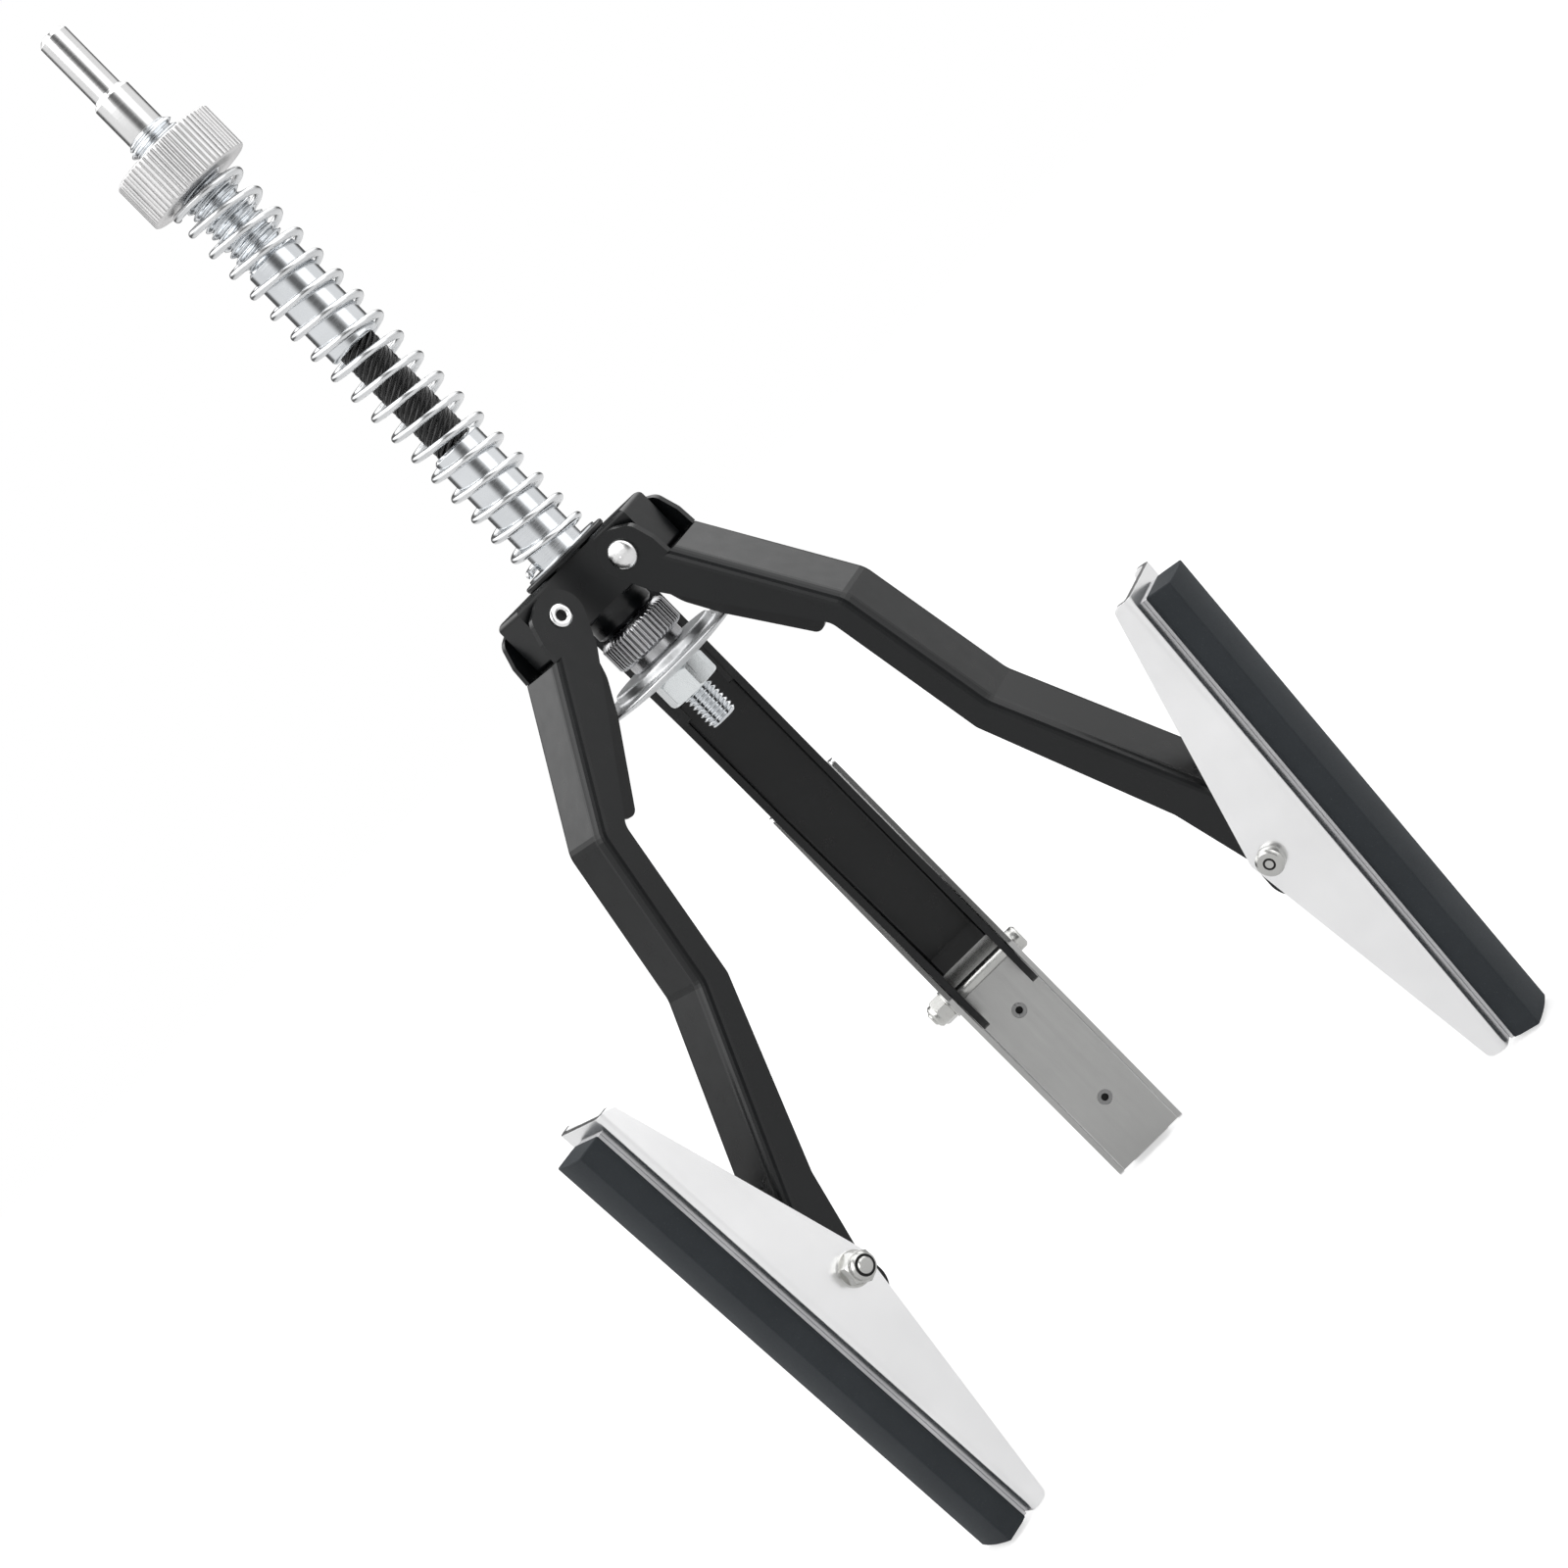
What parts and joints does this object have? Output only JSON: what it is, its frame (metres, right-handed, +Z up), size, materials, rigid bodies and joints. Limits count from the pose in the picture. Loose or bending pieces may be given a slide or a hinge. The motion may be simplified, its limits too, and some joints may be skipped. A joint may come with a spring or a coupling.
{
  "type": "engine cylinder hone",
  "caption": "Three-leg cylinder hone: flexible drive shaft, tension spring, riveted hub, black spring-loaded legs and pivoting stone shoes.",
  "frame": {"origin": "centre of the drive shank where it meets the collar's shoulder", "axes": "+Z up the drive shank, +Y towards leg 1, the legs standing at 120 degree steps"},
  "size_m": [0.1493, 0.1296, 0.3017],
  "materials": {
    "zinc_shaft": "bright zinc plate",
    "nut_steel": "bright plated, fine straight knurl",
    "spring_steel": "bright plated spring wire",
    "cable": "black stranded cable",
    "black_steel": "black semi-gloss finish on pressed steel",
    "dark_nut": "dark plated coarse knurl",
    "zinc_disc": "bluish zinc plate",
    "rivet_steel": "bright plated",
    "shoe_steel": "bright plated pressed steel",
    "strip_steel": "bright plated strip",
    "bolt_steel": "bright plated",
    "stone": "fine-grained dark slate-grey abrasive"
  },
  "bodies": {
    "drive_shaft": {"drive_ferrule": "zinc_shaft"},
    "spring": {"tension_spring": "spring_steel"},
    "tension_nut": {"tension_nut": "nut_steel"},
    "flex_core": {"flexible_cable": "cable"},
    "lower_shaft": {"lower_ferrule": "zinc_shaft", "limit_nut": "dark_nut", "expander_disc": "zinc_disc", "hex_nut": "zinc_disc"},
    "hub": {"hub": "black_steel", "spring_washer": "zinc_shaft"},
    "leg_1": {"leg_1": "black_steel", "cam_channel_1": "black_steel", "hub_rivet_1": "rivet_steel"},
    "shoe_1": {"shoe_channel_1": "shoe_steel", "backing_strip_1": "strip_steel", "stone_1": "stone", "shoe_bolt_1": "bolt_steel", "lock_nut_1": "bolt_steel", "nut_washer_1": "bolt_steel", "shoe_rivets_1": "rivet_steel"},
    "leg_2": {"leg_2": "black_steel", "cam_channel_2": "black_steel", "hub_rivet_2": "rivet_steel"},
    "shoe_2": {"shoe_channel_2": "shoe_steel", "backing_strip_2": "strip_steel", "stone_2": "stone", "shoe_bolt_2": "bolt_steel", "lock_nut_2": "bolt_steel", "nut_washer_2": "bolt_steel", "shoe_rivets_2": "rivet_steel"},
    "leg_3": {"leg_3": "black_steel", "cam_channel_3": "black_steel", "hub_rivet_3": "rivet_steel"},
    "shoe_3": {"shoe_channel_3": "shoe_steel", "backing_strip_3": "strip_steel", "stone_3": "stone", "shoe_bolt_3": "bolt_steel", "lock_nut_3": "bolt_steel", "nut_washer_3": "bolt_steel", "shoe_rivets_3": "rivet_steel"}
  },
  "joints": [
    {"name": "tension_nut_travel", "type": "slide", "parent": "drive_shaft", "child": "spring", "axis": [0, 0, 1], "range_m": [-0.0135, 0.003], "deforming": ["tension_spring"]},
    {"name": "tension_nut_turn", "type": "hinge", "parent": "spring", "child": "tension_nut", "pos_m": [0, 0, -0.0173], "axis": [0, 0, 1], "range_deg": [-3240, 720]},
    {"name": "flex_x", "type": "hinge", "parent": "drive_shaft", "child": "flex_core", "pos_m": [0, 0, -0.07285], "axis": [1, 0, 0], "range_deg": [-15, 15], "stiffness_Nm_per_rad": 3, "deforming": ["tension_spring", "flexible_cable"]},
    {"name": "flex_y", "type": "hinge", "parent": "flex_core", "child": "lower_shaft", "pos_m": [0, 0, -0.07285], "axis": [0, 1, 0], "range_deg": [-15, 15], "stiffness_Nm_per_rad": 3, "deforming": ["tension_spring", "flexible_cable"]},
    {"name": "hub_slide", "type": "slide", "parent": "lower_shaft", "child": "hub", "axis": [0, 0, 1], "range_m": [0, 0.015], "deforming": ["tension_spring"]},
    {"name": "leg_1_swing", "type": "hinge", "parent": "hub", "child": "leg_1", "pos_m": [0, 0.0133, -0.1195], "axis": [-1, 0, 0], "range_deg": [0, 15]},
    {"name": "shoe_1_swing", "type": "hinge", "parent": "leg_1", "child": "shoe_1", "pos_m": [0, 0.0634, -0.2338], "axis": [1, 0, 0], "range_deg": [-15, 15]},
    {"name": "leg_2_swing", "type": "hinge", "parent": "hub", "child": "leg_2", "pos_m": [-0.01152, -0.00665, -0.1195], "axis": [0.5, -0.866, 0], "range_deg": [0, 15]},
    {"name": "shoe_2_swing", "type": "hinge", "parent": "leg_2", "child": "shoe_2", "pos_m": [-0.05491, -0.0317, -0.2338], "axis": [-0.5, 0.866, 0], "range_deg": [-15, 15]},
    {"name": "leg_3_swing", "type": "hinge", "parent": "hub", "child": "leg_3", "pos_m": [0.01152, -0.00665, -0.1195], "axis": [0.5, 0.866, 0], "range_deg": [0, 15]},
    {"name": "shoe_3_swing", "type": "hinge", "parent": "leg_3", "child": "shoe_3", "pos_m": [0.05491, -0.0317, -0.2338], "axis": [-0.5, -0.866, 0], "range_deg": [-15, 15]}
  ],
  "couplings": [
    {"joint": "tension_nut_turn", "follows": "tension_nut_travel", "rad_per_m": 4188.8},
    {"joint": "leg_1_swing", "follows": "hub_slide", "rad_per_m": 17.453},
    {"joint": "leg_2_swing", "follows": "hub_slide", "rad_per_m": 17.453},
    {"joint": "leg_3_swing", "follows": "hub_slide", "rad_per_m": 17.453}
  ]
}
